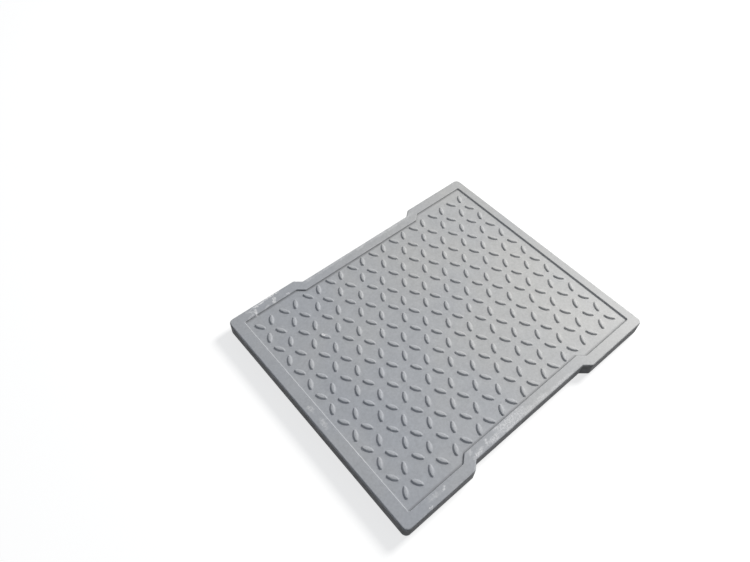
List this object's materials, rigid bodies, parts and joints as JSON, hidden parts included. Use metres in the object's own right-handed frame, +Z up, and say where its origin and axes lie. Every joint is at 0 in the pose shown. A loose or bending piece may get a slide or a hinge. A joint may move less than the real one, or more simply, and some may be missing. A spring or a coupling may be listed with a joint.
{
  "type": "drainage channel cover",
  "caption": "Flat moulded drainage channel cover: a raised rim round a sunk panel of crossed oval tread bumps, with a drain notch in each long side that makes a slot with the next cover.",
  "frame": {"origin": "centre of the flat underside, on the seat", "axes": "+X across the channel, along the notched sides; +Y along the channel, towards the next cover; +Z up, out of the tread"},
  "size_m": [0.605, 0.5, 0.03],
  "materials": {
    "moulded_body": "matte moulded grey composite, slightly mottled, with pale scuffs on the rim"
  },
  "bodies": {
    "root": {"cover_plate": "moulded_body"}
  },
  "joints": []
}
